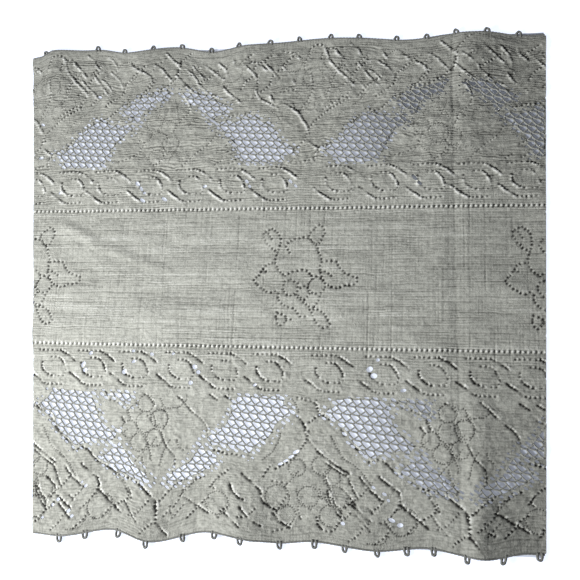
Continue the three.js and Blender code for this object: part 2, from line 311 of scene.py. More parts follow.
def pricked(xs, ys, charts, radius=HOLE_RADIUS, slit=0.5, lit_side=1, bead=1.0):
    """Pin-holes along charted lines, from 0 to about 1, and beads of thread beside them, from 0 to -1. Holes
    lie closest on thin lines and on falling ones, where they are longer by slit. Beads lie between the holes,
    on falling lines further aside: above the line, or below it where lit_side is -1."""
    holes, beads = np.zeros((2, len(ys), len(xs)))
    chance = np.random.default_rng(31)
    full_depth, thin_depth, left_out, stretch = BEADS_ABOVE if lit_side > 0 else BEADS_BELOW
    for weight, line in charts:
        thin = weight <= THIN_LINE
        depth = thin_depth if thin else full_depth
        run = np.gradient(line, axis=0)
        run /= np.maximum(np.hypot(*run.T), 1e-9)[:, None] * np.where(run[:, :1] < 0, -1, 1)
        slant = np.degrees(np.arctan2(run[:, 1], run[:, 0]))
        falling = ease(-slant, *FALLING_FROM[0]) * ease(90 + slant, *FALLING_FROM[1])
        rising = ease(slant, *RISING_FROM[0]) * ease(90 - slant, *RISING_FROM[1])
        falling *= slit > 0 and not thin
        spacing = LEVEL_SPACING + (STEEP_SPACING - LEVEL_SPACING) * ease(np.abs(slant), *STEEP_FROM)
        spacing += (FALLING_SPACING - spacing) * falling
        if thin:
            spacing[:] = THIN_SPACING
        for k in np.flatnonzero(np.diff(np.floor(np.cumsum(CHART_SPACING / spacing)), prepend=-1)):
            pull = (0.4 + 0.6 * falling[k]) * unevenness(*line[k], 5, 5, 32)
            drawn_up = np.clip(0.95 - 0.1 * falling[k] + pull, 0.1, 1.2)
            strength = drawn_up * (1 + 0.05 * falling[k] - 0.05 * rising[k]) * chance.uniform(0.8, 1.15)
            wide = weight * radius
            long = wide * (1 + slit * falling[k])
            sink(holes, xs, ys, line[k], run[k], long, wide, strength * depth)
            across = np.array((-run[k, 1], run[k, 0]))
            aside = lit_side * BEAD_ASIDE * (0.4 + 0.6 * falling[k])
            beside = line[k] + aside * across + spacing[k] / 2 * run[k]
            lump = wide * (BEAD_SIZE[0] + (BEAD_SIZE[1] - BEAD_SIZE[0]) * falling[k])
            if chance.uniform() > left_out * falling[k]:
                raised = bead * strength * (THIN_BEAD if thin else 1)
                ridge = 1 + stretch * falling[k]
                sink(beads, xs, ys, beside, run[k], lump * ridge, lump, raised * ridge)
    return np.where(beads > holes, -beads, holes)


HOLE_DEPTH, HOLE_MOST, BEAD_HEIGHT, BEAD_MOST = 1.0, 1.2, 0.5, 1.5
# Painted shade in the pin-holes and painted highlight on the beads beside them.
HOLE_DARK, BEAD_LIT = 1.6, 0.75


def pulled_apart(holes):
    return BEAD_HEIGHT * np.clip(-holes, 0, BEAD_MOST) - HOLE_DEPTH * np.clip(holes, 0, HOLE_MOST)


def painted_hole_shading(holes):
    return np.clip(HOLE_DARK * holes, 0, 1) - BEAD_LIT * np.clip(-holes, 0, 1)


EDGE_SNAP, END_RIM, OPENING_NEAR = 0.36, 1.6, 3.0
THINNEST, LEAST_SLOPE, UNDERSIDE_INSET = 0.2, 0.3, 2.5
UNDERSIDE_STRIDE = 8


def loom_grid(low, high, rows):
    first, last = math.floor(LEFT_END_BACK / LOOM_STEP) - 1, math.ceil(RIGHT_END_BACK / LOOM_STEP) + 1
    return LOOM_STEP * np.arange(first, last + 1), np.linspace(low, high, rows + 1)


def beyond(x, y, outline):
    """Distance from an opening's outline, less than 0 inside it."""
    nearest = np.full(x.shape, np.inf)
    within = np.zeros(x.shape, bool)
    for (ax, ay), (bx, by) in zip(outline, np.roll(outline, -1, axis=0)):
        dx, dy = bx - ax, by - ay
        share = np.clip(((x - ax) * dx + (y - ay) * dy) / max(dx * dx + dy * dy, 1e-9), 0, 1)
        nearest = np.minimum(nearest, np.hypot(x - ax - share * dx, y - ay - share * dy))
        if dy:
            within ^= ((ay > y) != (by > y)) & (x < ax + dx * (y - ay) / dy)
    return np.where(within, -nearest, nearest)


def from_ends(x, y):
    """Distance from the nearer cut end of the runner, less than 0 beyond it."""
    left, right = ends_at(y)
    return np.minimum(x - left, right - x)


def beside_opening(x, y, outline):
    """Distance from an opening, which stops short of the cut ends."""
    return np.maximum(beyond(x, y, outline), END_RIM - from_ends(x, y))


def rim_edges(quads, triangles, count):
    """Edges with one face only, in the direction in which that face goes round."""
    sides = [quads[:, [k, (k + 1) % 4]] for k in range(4)]
    sides += [triangles[:, [k, (k + 1) % 3]] for k in range(3)]
    edges = np.vstack(sides)
    return edges[~np.isin(edges[:, 0] * count + edges[:, 1], edges[:, 1] * count + edges[:, 0])]


def under_cloth(triangles, rim):
    """Those triangles that lie on the cloth's side of its rim, so that openings stay open."""
    owner = {}
    for k, face in enumerate(triangles):
        for edge in zip(face, face[1:] + face[:1]):
            owner[edge] = k
    rim = set(map(tuple, rim))
    reached = {owner[edge] for edge in rim if edge in owner}
    waiting = list(reached)
    while waiting:
        face = triangles[waiting.pop()]
        for a, b in zip(face, face[1:] + face[:1]):
            across = owner.get((b, a))
            if across is not None and across not in reached and (a, b) not in rim and (b, a) not in rim:
                reached.add(across)
                waiting.append(across)
    return [triangles[k] for k in sorted(reached)]


def woven_band(name, xs, ys, height, painted_shading, openings=()):
    """A closed sheet of cloth on the loom's grid, with its fine relief on top and a plain underside."""
    x, y = np.meshgrid(xs, ys)
    cloth = from_ends(x, y)
    for outline in openings:
        x_low, y_low = outline.min(axis=0) - OPENING_NEAR
        x_high, y_high = outline.max(axis=0) + OPENING_NEAR
        near = slice(*np.searchsorted(ys, (y_low, y_high))), slice(*np.searchsorted(xs, (x_low, x_high)))
        cloth[near] = np.minimum(cloth[near], beside_opening(x[near], y[near], outline))
    slope_y, slope_x = np.gradient(cloth, ys, xs)
    steep = np.maximum(slope_x**2 + slope_y**2, LEAST_SLOPE)
    snapped = np.abs(cloth) < EDGE_SNAP
    x = np.where(snapped, x - cloth * slope_x / steep, x)
    y = np.where(snapped, y - cloth * slope_y / steep, y)
    y[0], y[-1] = ys[0], ys[-1]
    on_cloth = (snapped | (cloth >= 0)).ravel()

    # The top: whole squares of the loom's grid, and half squares where an opening cuts a corner off.
    index = np.arange(x.size).reshape(x.shape)
    around = (index[:-1, :-1], index[:-1, 1:], index[1:, 1:], index[1:, :-1])
    squares = np.stack(around, axis=-1).reshape(-1, 4)
    corners = on_cloth[squares]
    quads, cut = squares[corners.all(axis=1)], corners.sum(axis=1) == 3
    turned = (corners[cut].argmin(axis=1)[:, None] + np.array([1, 2, 3])) % 4
    triangles = np.take_along_axis(squares[cut], turned, axis=1)
    rim = rim_edges(quads, triangles, x.size)
    while (crossed := np.bincount(rim[:, 0], minlength=x.size) > 1).any():
        quads, triangles = quads[~crossed[quads].any(axis=1)], triangles[~crossed[triangles].any(axis=1)]
        rim = rim_edges(quads, triangles, x.size)

    # The underside: the same rim, with far fewer points inside it.
    top = np.unique(np.concatenate([quads.ravel(), triangles.ravel()]))
    compact = np.zeros(x.size, int)
    compact[top] = np.arange(len(top))
    rim_points = np.unique(rim)
    inner = np.zeros(x.shape, bool)
    half = UNDERSIDE_STRIDE // 2
    inner[half:-half:UNDERSIDE_STRIDE, half:-half:UNDERSIDE_STRIDE] = True
    inner = np.flatnonzero(inner.ravel() & (cloth.ravel() > UNDERSIDE_INSET))
    below = np.concatenate([rim_points, inner])
    place = np.zeros(x.size, int)
    place[below] = np.arange(len(below))
    flat = [Vector(p) for p in np.stack([x.ravel()[below], y.ravel()[below]], axis=1)]
    laid, _, under, origin, _, _ = delaunay_2d_cdt(flat, place[rim].tolist(), [], 1, 1e-5)
    under_x, under_y = np.array(laid).T
    step_down = len(top)
    found = np.full(len(below), -1)
    for k, source in enumerate(origin):
        if source:
            found[source] = step_down + k

    # Both laid in their folds and joined by walls round every rim.
    top_x, top_y = x.ravel()[top], y.ravel()[top]
    top_z = lift(top_x, top_y) + np.maximum(THICKNESS + height.ravel()[top], THINNEST)
    points = np.vstack([
        np.stack([top_x, top_y + edge_swing(top_x, top_y), top_z], axis=1),
        np.stack([under_x, under_y + edge_swing(under_x, under_y), lift(under_x, under_y)], axis=1),
    ])
    rim_top, rim_under = compact[rim], found[place[rim]]
    walls = np.stack([rim_top[:, 1], rim_top[:, 0], rim_under[:, 0], rim_under[:, 1]], axis=1)
    middles = np.stack([under_x, under_y], axis=1)[np.array(under)].mean(axis=1)
    closed = np.ones(len(under), bool)
    for outline in openings:
        near = ((middles > outline.min(axis=0)) & (middles < outline.max(axis=0))).all(axis=1)
        closed[near] &= beside_opening(*middles[near].T, outline) > -EDGE_SNAP
    under = [list(face) for face, kept in zip(under, closed) if kept]
    under = under_cloth(under, (rim_under - step_down).tolist())
    soles = [[step_down + k for k in reversed(face)] for face in under]
    faces = compact[quads].tolist() + compact[triangles].tolist() + soles + walls.tolist()
    mesh = bpy.data.meshes.new(name)
    mesh.from_pydata((points * MM).tolist(), [], faces)
    smooth = np.ones(len(faces), bool)
    smooth[-len(walls):] = False
    mesh.polygons.foreach_set("use_smooth", smooth)
    rim_pairs = np.sort(rim_top, axis=1)
    ends = np.empty(2 * len(mesh.edges), np.int32)
    mesh.edges.foreach_get("vertices", ends)
    ends = np.sort(ends.reshape(-1, 2), axis=1)
    sharp = np.isin(ends[:, 0] * len(points) + ends[:, 1], rim_pairs[:, 0] * len(points) + rim_pairs[:, 1])
    mesh.attributes.new("sharp_edge", "BOOLEAN", "EDGE").data.foreach_set("value", sharp)
    # Painted shading on the top points only: painted shade up to 1, painted highlight down to -1.
    shade = np.zeros(len(points))
    shade[:step_down] = np.clip(painted_shading.ravel()[top], -1, 1)
    mesh.attributes.new("painted_shading", "FLOAT", "POINT").data.foreach_set("value", shade)
    piece = bpy.data.objects.new(name, mesh)
    bpy.context.scene.collection.objects.link(piece)
    return piece


def linear(hex_colour):
    """An sRGB hex colour as linear red, green, blue and alpha."""
    parts = [int(hex_colour[k : k + 2], 16) / 255 for k in (1, 3, 5)]
    return (*[p / 12.92 if p <= 0.04045 else ((p + 0.055) / 1.055) ** 2.4 for p in parts], 1.0)


def add_node(material, kind, links=(), values=(), **settings):
    made = material.node_tree.nodes.new(kind)
    for setting, value in settings.items():
        setattr(made, setting, value)
    for socket, value in values:
        made.inputs[socket].default_value = value
    for socket, source in links:
        material.node_tree.links.new(source, made.inputs[socket])
    return made


COTTON_PALE, COTTON_DEEP = "#b0b1aa", "#a0a199"
# Painted highlight and painted shade: the colours that the cloth's shading attribute mixes towards.
COTTON_LIT, PAINTED_SHADE_COLOUR = "#e4e5e2", "#1c1b18"
# The net's thread and the edging cord are the cloth's cotton drawn darker: painted shade on thin threads and
# cord.
THREAD_PALE, THREAD_DEEP = "#9a9b96", "#868782"
CORD_PALE, CORD_DEEP = "#7f807c", "#6b6c69"
SLUB_MM, FIBRE_MM = 5.0, 0.9


def cotton_yarn(name, pale, deep):
    """Unbleached cotton yarn, machine-woven and washed: matt, grey-beige, a little lighter and darker from
    slub to slub. A point attribute mixes in painted highlight, towards a pale colour where threads stand up
    to the light, and painted shade, towards near-black, where threads part, in grooves and the crease, and
    over the cloth's broad painted shade. Real fibre fuzz is far finer than a pixel, so it is drawn coarser."""
    made = bpy.data.materials.new(name)
    made.use_nodes = True
    made.node_tree.nodes.clear()
    where = add_node(made, "ShaderNodeTexCoord")
    along = add_node(
        made, "ShaderNodeMapping", [("Vector", where.outputs["Object"])], [("Scale", (0.25, 1.0, 1.0))]
    )
    slub = add_node(
        made, "ShaderNodeTexNoise", [("Vector", along.outputs["Vector"])],
        [("Scale", 1 / (SLUB_MM * MM)), ("Detail", 4.0), ("Roughness", 0.65)],
    )
    yarn = add_node(
        made, "ShaderNodeMix", [("Factor", slub.outputs["Fac"])],
        [("A", linear(deep)), ("B", linear(pale))], data_type="RGBA",
    )
    painted_shading = add_node(made, "ShaderNodeAttribute", attribute_name="painted_shading")
    raised = add_node(made, "ShaderNodeMath", [(0, painted_shading.outputs["Fac"])], [(1, -1.0)], operation="MULTIPLY")
    lit = add_node(
        made, "ShaderNodeMix", [("Factor", raised.outputs["Value"]), ("A", yarn.outputs["Result"])],
        [("B", linear(COTTON_LIT))], data_type="RGBA",
    )
    shown = add_node(
        made, "ShaderNodeMix", [("Factor", painted_shading.outputs["Fac"]), ("A", lit.outputs["Result"])],
        [("B", linear(PAINTED_SHADE_COLOUR))], data_type="RGBA",
    )
    fibre = add_node(
        made, "ShaderNodeTexNoise", [("Vector", where.outputs["Object"])],
        [("Scale", 1 / (FIBRE_MM * MM)), ("Detail", 3.0), ("Roughness", 0.6)],
    )
    fuzz = add_node(
        made, "ShaderNodeBump", [("Height", fibre.outputs["Fac"])],
        [("Strength", 0.9), ("Distance", 0.5 * MM)],
    )
    surface = add_node(
        made, "ShaderNodeBsdfPrincipled",
        [("Base Color", shown.outputs["Result"]), ("Normal", fuzz.outputs["Normal"])],
        [("Roughness", 0.9), ("IOR", 1.5), ("Specular IOR Level", 0.2), ("Sheen Weight", 0.1)],
    )
    add_node(made, "ShaderNodeOutputMaterial", [("Surface", surface.outputs["BSDF"])])
    return made


COTTON = cotton_yarn("cotton_lace", COTTON_PALE, COTTON_DEEP)
COTTON_THREAD = cotton_yarn("cotton_thread", THREAD_PALE, THREAD_DEEP)
COTTON_CORD = cotton_yarn("cotton_cord", CORD_PALE, CORD_DEEP)
FLOWER_PLACES = (-203.8, 24.5, 216.0)
FLOWER_HOLE, FLOWER_WEIGHT, FLOWER_BEAD = 0.7, 1.15, 0.6
# One flower from its middle: six leaves, crown, two sides of the head, heart with three buds, skirt.
FLOWER = (
    ((-28, 39), (-24, 36), (-21.5, 32), (-21, 27), (-22, 22), (-26, 21), (-31, 26), (-35, 32), (-33, 37),
     (-28, 39)),
    ((-31, 35), (-28, 30)),
    ((10, 42), (14, 37), (12, 31.5), (8, 26), (3, 30), (2, 34), (5, 38), (10, 42)),
    ((-41, -3), (-37.5, 1), (-33.5, 7), (-28, 11), (-25, 10)),
    ((-41, -3), (-39, -6), (-34, -10), (-28.5, -13), (-24, -12), (-21, -10)),
    ((-34, 5.5), (-30, 3)),
    ((13, 12), (18, 12.5), (23.5, 12), (26.5, 8), (30.5, 3), (36, 0.5), (40, -1)),
    ((40, -1), (39.5, -5), (35, -6.5), (31, -7), (26.5, -9), (22, -9), (16.5, -6)),
    ((15, 4), (21, 0.5)),
    ((-21.5, -29), (-22, -33.5), (-20, -38.5), (-16.5, -37.5), (-14, -33.5), (-16, -31), (-21.5, -29)),
    ((-14, -33.5), (-10.5, -34.5)),
    ((4.5, -26.5), (8, -33), (11, -38), (15, -40), (20, -38), (17.5, -32), (14, -28), (10, -26),
     (4.5, -26.5)),
    ((-13.5, 19.5), (-16, 24.5), (-13, 29), (-8, 31), (-2, 31.5), (2, 30.5), (5, 28), (9, 22), (12, 14)),
    ((-22, 22), (-24, 16), (-24, 10), (-21.5, 5), (-16.5, 1)),
    ((12, 14), (11.5, 8.5), (11.5, 3), (13.5, -2), (16, -6)),
    ((-16.5, 1), (-8, 4.5), (-2, 5), (3, 3), (5, -1), (2, -6)),
    ((-11.5, -2.5), (-6.5, -5), (-6, -11), (-10, -15), (-15, -14), (-17.5, -9), (-16, -4), (-11.5, -2.5)),
    ((9, 0), (14, -2.5), (16, -7), (13, -13), (7, -14), (2, -10), (4, -3), (9, 0)),
    ((-4, -9), (1, -8), (4, -12), (2, -17), (-2, -18.5), (-5, -15)),
    ((-20.5, -14), (-20, -19), (-16, -23.5), (-12, -25), (-8, -26), (-3, -31.5), (1, -31.5)),
    ((-7, -15), (-3, -19), (1, -22), (5, -25), (8, -25)),
    ((8, -24), (11, -19), (12, -14)),
)
panel_x, panel_y = loom_grid(-PANEL_EDGE, PANEL_EDGE, PANEL_ROWS)
flowers = [drawn([(place + u, v) for u, v in points]) for place in FLOWER_PLACES for points in FLOWER]
flower_lines = [(FLOWER_WEIGHT, line) for line in flowers]
panel_holes = pricked(panel_x, panel_y, flower_lines, FLOWER_HOLE, slit=0, bead=FLOWER_BEAD)
panel_relief, panel_painted_shading = woven_grain(*np.meshgrid(panel_x, panel_y))
centre_panel = woven_band(
    "centre_panel", panel_x, panel_y,
    panel_relief + pulled_apart(panel_holes),
    panel_painted_shading + painted_hole_shading(panel_holes),
)


def dressed(piece, material, node):
    """Gives a piece its material and its place in the CAD part."""
    piece.data.materials.append(material)
    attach(piece, "root")
    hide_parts(node)


dressed(centre_panel, COTTON, "lace_cloth")

# Scroll bands
# A band of running scrolls on each side of the centre panel, woven in one with it in the same cotton.
# A row of raised knots with a gap between each two parts it from the panel. Some eyelets go right through.
BEAD_ROW = 55.8
BAND_ROWS = 62
BEAD_RISE, BEAD_HALF_WIDTH = 0.6, 1.05
# Gaps between the knots: depth, half width and slant, then how far below, half length and painted shade.
BEAD_GAP_DEPTH, BEAD_GAP_HALF_WIDTH, BEAD_GAP_SLANT = 0.9, 0.6, 0.2
BEAD_GAP_BELOW, BEAD_GAP_HALF_LENGTH, BEAD_GAP_DARK = 0.3, 0.95, 1.2
# A shallow groove runs in front of each row of knots, with painted shade in it.
BEAD_GROOVE_BELOW, BEAD_GROOVE_HALF_WIDTH, BEAD_GROOVE_DEPTH, BEAD_GROOVE_DARK = 1.9, 0.5, 0.3, 0.4
# Painted highlight on the knots.
KNOT_LIT = 1.0
BEAD_GAP_FRONT, BEAD_GAP_BACK = -22.9, -22.0
FRONT_SCROLLS = (-213, -178, -144, -109, -71, -36, 0, 46, 87, 123, 160, 195)
BACK_SCROLLS = (-213, -177, -144, -108, -73, -38, -3, 49, 85, 121, 156, 192)
FRONT_SCROLL_MIDDLE, BACK_SCROLL_MIDDLE = -75.3, 76.6
# One scroll from its middle: top row, falling arm, hook, ring's underside, run to the bottom row, its dots.
SCROLL = (
    (1.0, ((-14, 13.5), (-5, 13.9), (4, 13.8))),
    (1.2, ((4, 13.8), (8, 12), (12, 9.5), (17, 5.5))),
    (1.0, ((-3, 8), (2, 8), (6, 5.5), (9, 1), (10.5, -4))),
    (1.2, ((-11, 4), (-10.5, 0), (-7, -4.5), (1, -7.5))),
    (1.1, ((-20, -4), (-14, -8.5), (-8, -12.8), (-4, -13.5))),
    (1.0, ((-4, -13.5), (2, -13.5), (10, -13.3))),
    (0.8, ((4, -7), (8, -6.5), (10, -4))),
)
# Eyelets that go through: place, half length, half width and slant in degrees.
FRONT_EYELETS = (
    (-153.5, -72.7, 2.7, 1.9, 60), (-151.5, -77, 2.2, 1.8, 20), (-148, -63.5, 1.9, 1.6, 30),
    (-118.3, -77.6, 2.3, 2.0, 40), (-111, -69.4, 2.2, 1.3, 20), (-112, -61, 1.7, 1.1, 10),
    (-96.5, -63.3, 1.9, 1.2, -30), (-79, -62.6, 1.3, 1.1, 0), (-60.6, -72.6, 2.3, 1.8, -30),
    (-57.5, -76.6, 1.9, 1.6, -20), (-63.2, -85, 1.9, 1.7, 0), (-12, -85.3, 1.9, 1.0, 30),
    (75.5, -71.2, 2.6, 2.1, 30), (78.8, -76, 2.6, 2.0, 0), (81.5, -64, 1.4, 1.5, 0),
    (100.7, -86.3, 2.3, 1.4, 10),
)
BACK_EYELETS = (
    (-120.5, 78.8, 2.6, 1.6, -50), (-116.8, 74.4, 2.6, 1.2, -55), (-113.9, 70.7, 1.5, 1.2, 0),
    (-115, 64.3, 3.0, 1.3, -35), (-96, 65, 3.0, 1.3, -35), (-189, 72, 1.8, 1.2, 20),
    (-62, 75.6, 1.8, 1.2, 10), (-27, 79, 2.3, 1.2, -50), (-24.3, 74.8, 2.0, 1.1, -50),
    (9, 78.5, 2.6, 1.1, -50), (13.5, 74.5, 2.0, 1.0, -50), (107.5, 79.5, 3.2, 1.6, -50),
    (111.5, 75, 2.4, 1.2, -45),
)
OVAL_POINTS = 14


def oval(along, across, half_length, half_width, slant):
    turn = np.linspace(0, 2 * np.pi, OVAL_POINTS, endpoint=False)
    lean = math.radians(slant)
    u, v = half_length * np.cos(turn), half_width * np.sin(turn)
    x = along + u * np.cos(lean) - v * np.sin(lean)
    y = across + u * np.sin(lean) + v * np.cos(lean)
    return np.stack([x, y], axis=1)


def bead_row(x, y, row, first_gap):
    """Relief and painted shading of one row of knots: knots stand up with painted highlight, the gaps
    between them lean to the right and have painted shade, as does the groove in front.
    """
    beside = y - row
    turn = 2 * np.pi * (x - first_gap - BEAD_GAP_SLANT * beside) / BEAD_PITCH
    across = np.exp(-((beside / BEAD_HALF_WIDTH) ** 2))
    from_gap = BEAD_PITCH / (2 * np.pi) * np.abs(np.angle(np.exp(1j * turn)))
    gap = np.exp(-((from_gap / BEAD_GAP_HALF_WIDTH) ** 2))
    gap *= np.exp(-(((beside + BEAD_GAP_BELOW) / BEAD_GAP_HALF_LENGTH) ** 2))
    groove = 0.5 * np.exp(-(((beside + BEAD_GROOVE_BELOW) / BEAD_GROOVE_HALF_WIDTH) ** 2))
    knot = across * (0.45 - 0.55 * np.cos(turn))
    relief = BEAD_RISE * knot - BEAD_GAP_DEPTH * gap - BEAD_GROOVE_DEPTH * groove
    return relief, BEAD_GAP_DARK * gap + BEAD_GROOVE_DARK * groove - KNOT_LIT * np.clip(knot, 0, 1)


def shifted(charts, along, across):
    """Charts laid at a place on the cloth."""
    return [(weight, drawn([(along + u, across + v) for u, v in points])) for weight, points in charts]


for side, row, first_gap, middles, middle, eyelets in (
    (-1, -BEAD_ROW, BEAD_GAP_FRONT, FRONT_SCROLLS, FRONT_SCROLL_MIDDLE, FRONT_EYELETS),
    (1, BEAD_ROW, BEAD_GAP_BACK, BACK_SCROLLS, BACK_SCROLL_MIDDLE, BACK_EYELETS),
):
    name = "scroll_band_back" if side > 0 else "scroll_band_front"
    low, high = sorted((side * PANEL_EDGE, side * BAND_EDGE))
    band_x, band_y = loom_grid(low, high, BAND_ROWS)
    scrolls = [line for place in middles for line in shifted(SCROLL, place, middle)]
    band_holes = pricked(band_x, band_y, scrolls, lit_side=-side)
    band_grid = np.meshgrid(band_x, band_y)
    bead_relief, bead_painted_shading = bead_row(*band_grid, row, first_gap)
    band_relief, band_painted_shading = woven_grain(*band_grid)
    scroll_band = woven_band(
        name, band_x, band_y,
        band_relief + bead_relief + pulled_apart(band_holes),
        band_painted_shading + painted_hole_shading(band_holes) + bead_painted_shading,
        [oval(*eyelet) for eyelet in eyelets],
    )
    dressed(scroll_band, COTTON, "lace_cloth")

# Borders
# A wide lace border on each long side, woven in one with the bands; pin-holes draw its leaves and grapes.
# Between the leaves lie two rows of net windows, which meet in a point and are left open here for the net.
REPEAT = 231.0
FRONT_POINT, BACK_POINT = -84.5, -92.5
BORDER_ROWS = 174
# Net windows of one arm, as distance along from the point and distance up from the centre line.
NET_WINDOWS = (
    ((93, 93.5), (64, 93.5), (57, 98), (54, 106), (51, 113), (46, 119), (40, 123), (36, 127), (41, 133),
     (50, 131.5), (62, 135), (69, 137), (78, 130), (87, 122), (92, 113), (102, 108), (103.5, 104), (97, 99)),
    ((32, 131), (27, 140), (20, 147), (13, 151), (8, 155), (6, 161), (18, 160), (30, 157), (38, 152),
     (47, 147), (45, 141), (38, 137)),
)
SIDE_WINDOW = ((-57, 94), (-40, 94), (-27, 95), (-25, 104), (-31, 103.5), (-38, 98.5), (-48, 97))
# One repeat of the border from its point: outer leaves, the fan between two points, then the grapes inside.
BORDER = (
    (1.3, ((-34, 158), (-18, 161), (-7, 167), (0, 173), (1.5, 180), (1.5, 188))),
    (1.8, ((-1.5, 170), (0.5, 175), (1.5, 181), (1.5, 189))),
    (1.0, ((-10, 196), (-4, 190), (0, 186))),
    (1.0, ((10, 197), (5, 191), (2, 188))),
    (1.2, ((-0.5, 176), (4.5, 171), (10, 166), (18, 160), (32, 153), (44, 148))),
    (1.1, ((-62, 150), (-54, 156), (-48, 161), (-46, 166))),
    (1.2, ((-46, 170), (-36, 180), (-27, 187))),
    (1.1, ((-41, 190), (-35, 184), (-28, 180), (-23, 176), (-21.5, 172), (-24, 168), (-27, 164))),
    (1.0, ((-31, 160), (-25, 164), (-20.5, 170), (-19.5, 175))),
    (0.8, ((-25, 178), (-18, 186), (-13, 190))),
    (0.9, ((-20, 187), (-14, 183), (-10, 178), (-5, 172))),
    (1.1, ((-76, 151), (-70, 158), (-64, 163), (-58, 168))),
    (1.0, ((-60, 182), (-53, 177), (-49, 172), (-47, 166), (-48, 161))),
    (0.9, ((-67, 174), (-62, 170), (-58, 165))),
    (1.0, ((-64, 196), (-58, 192), (-54, 187))),
    (1.0, ((-105, 140), (-95, 146), (-86, 151))),
    (1.1, ((-89, 160), (-83, 166), (-79, 171))),
    (0.8, ((-70, 172), (-66, 176))),
    (1.1, ((-78, 178), (-72, 184), (-68, 188))),
    (0.9, ((-100, 163), (-97, 172), (-93, 178), (-88, 183))),
    (0.7, ((-70, 196), (-60, 196), (-55, 191))),
    (1.1, ((37, 157), (29, 161), (20, 169), (27, 176), (36, 183), (42, 187))),
    (0.9, ((12, 177), (12, 181), (15, 184), (19, 186))),
    (1.0, ((46, 160), (43.5, 164), (46, 168))),
    (1.3, ((57, 161), (60, 167), (65, 171), (70, 173))),
    (1.2, ((67, 153), (76, 160), (81, 164), (82.5, 170), (87, 175), (94, 178))),
    (1.5, ((67, 179), (71, 183), (76, 186.5), (83, 190))),
    (1.0, ((55, 185), (62, 190), (67, 193))),
    (1.1, ((91, 180), (96, 185), (104, 190))),
    (1.0, ((7, 183), (12, 180), (18, 174), (20, 170), (26, 164), (31, 158))),
    (0.8, ((14, 186), (22, 178))),
    (1.1, ((26, 188), (32, 183), (37, 178), (43, 173))),
    (1.1, ((42, 166), (46, 160), (51, 155), (57, 150))),
    (1.2, ((50, 189), (52, 184), (57, 180))),
    (1.1, ((65, 186), (72, 183), (79, 177))),
    (1.0, ((92, 180), (97, 174), (100, 169), (102, 165))),
    (0.9, ((92, 193), (102, 190), (106, 186))),
    (1.1, ((104, 105), (112, 114), (113.5, 121), (118, 128), (124, 134), (132, 140), (147, 149))),
    (1.1, ((92, 147), (99, 143), (105, 139), (110, 132), (114, 126), (115.5, 118))),
    (1.0, ((116, 112), (123, 107), (132, 105), (138, 100), (142, 95))),
    (1.0, ((-110, 96), (-109, 103), (-103, 108), (-94, 112), (-90, 118), (-86, 124), (-78, 131),
           (-71, 136))),
    (1.0, ((-70, 139), (-60, 138), (-50, 147), (-38, 154), (-28, 159))),
    (0.7, ((-98, 122), (-93, 131), (-88, 138), (-81, 142), (-75, 147), (-70, 153), (-66, 158))),
    (0.7, ((99, 160), (105, 154), (110, 147))),
    (1.1, ((124, 183), (125, 189), (129, 192), (135, 192), (139, 187), (145, 181), (149, 176))),
    (1.0, ((145, 173), (150, 168), (157, 162), (160, 158))),
    (0.8, ((131, 163), (136, 171), (142, 178))),
    (0.9, ((145, 150), (150, 160), (154, 167))),
    (1.2, ((148, 170), (156, 176), (164, 182))),
    (0.9, ((148, 197), (154, 192), (158, 186), (164, 181))),
    (0.72, ((0, 104), (4.5, 111), (4.5, 117), (1.5, 121))),
    (0.85, ((0.5, 125), (5.5, 134), (12.5, 141), (12.5, 151), (7.5, 158))),
    (0.8, ((10, 94), (18, 101), (24, 107), (31, 112), (36, 118), (38, 124))),
    (0.65, ((14, 129), (15, 134), (19, 136))),
    (0.85, ((49, 105), (58, 110))),
    (0.8, ((38, 94), (44, 98))),
    (0.85, ((-15, 95), (-9.5, 99), (-6.5, 104))),
    (0.72, ((-33, 100), (-28, 107), (-25, 114))),
    (0.72, ((-2, 98), (3, 106))),
    (0.72, ((-16, 125), (-10, 132), (-6.5, 140), (-5.5, 146))),
    (0.72, ((-13, 143), (-11, 150), (-8, 155))),
    (0.68, ((-20, 148), (-12, 138), (-7, 133), (-3, 127))),
    (0.68, ((1.5, 147), (4.5, 135), (8.5, 128))),
    (0.68, ((-14, 125), (-7, 122), (-1.5, 117))),
    (0.68, ((-11, 111), (-3, 107), (6, 105), (14, 104))),
    (0.72, ((-27, 107), (-20, 100))),
    (0.72, ((14, 103), (21, 97))),
    (0.72, ((-33, 127), (-27, 122))),
    (1.0, ((50, 94.5), (54, 96.5), (58, 98.5))),
    (1.1, ((44, 136), (48, 136.5), (52.5, 138), (56.5, 138.5))),
    (1.0, ((58, 138), (63, 139), (67.5, 140))),
    (0.9, ((-58, 181), (-52.5, 187.5))),
    (0.8, ((-46.5, 99), (-38.5, 101), (-34.5, 103), (-29.5, 106), (-27.5, 111), (-24.5, 115))),
    (0.8, ((-32.5, 113), (-29.5, 117.5))),
    (0.9, ((106, 94), (111.5, 95), (119, 97.5), (121.5, 100), (121.5, 104))),
    (0.7, ((102, 95), (105.5, 99), (108.5, 106))),
    (0.7, ((94.5, 121), (92.5, 127.5), (89, 134), (85, 138.5), (80.5, 141.5))),
    (0.7, ((108.5, 162), (109.5, 169.5), (115, 175), (120, 178))),
    (0.7, ((125.5, 162), (127.5, 169.5))),
    (0.8, ((129, 152.5), (133, 162), (136, 170.5), (143, 177))),
    (0.8, ((109.5, 175), (110.5, 181), (112.5, 186.5))),
    (1.1, ((87.5, 146), (85, 149), (82.5, 154.5))),
    (0.8, ((90, 156.5), (101, 158))),
)
# Tendrils of the back border's repeat, where the weft is drawn up most.
BACK_TENDRILS = (
    (1.1, ((57, 187), (64, 179), (70, 172), (70, 162), (73, 153), (82, 147), (90, 142))),
    (1.1, ((113, 188), (115, 194), (121, 196), (127, 193), (132, 181), (139, 173), (146, 166),
           (152, 160))),
    (1.0, ((74, 187), (82, 178), (90, 168))),
    (1.0, ((155, 179), (163, 169), (171, 160))),
    (0.9, ((115, 174), (117, 160), (114, 150), (109, 142))),
    (1.2, ((37, 190), (42, 184), (45, 178))),
)
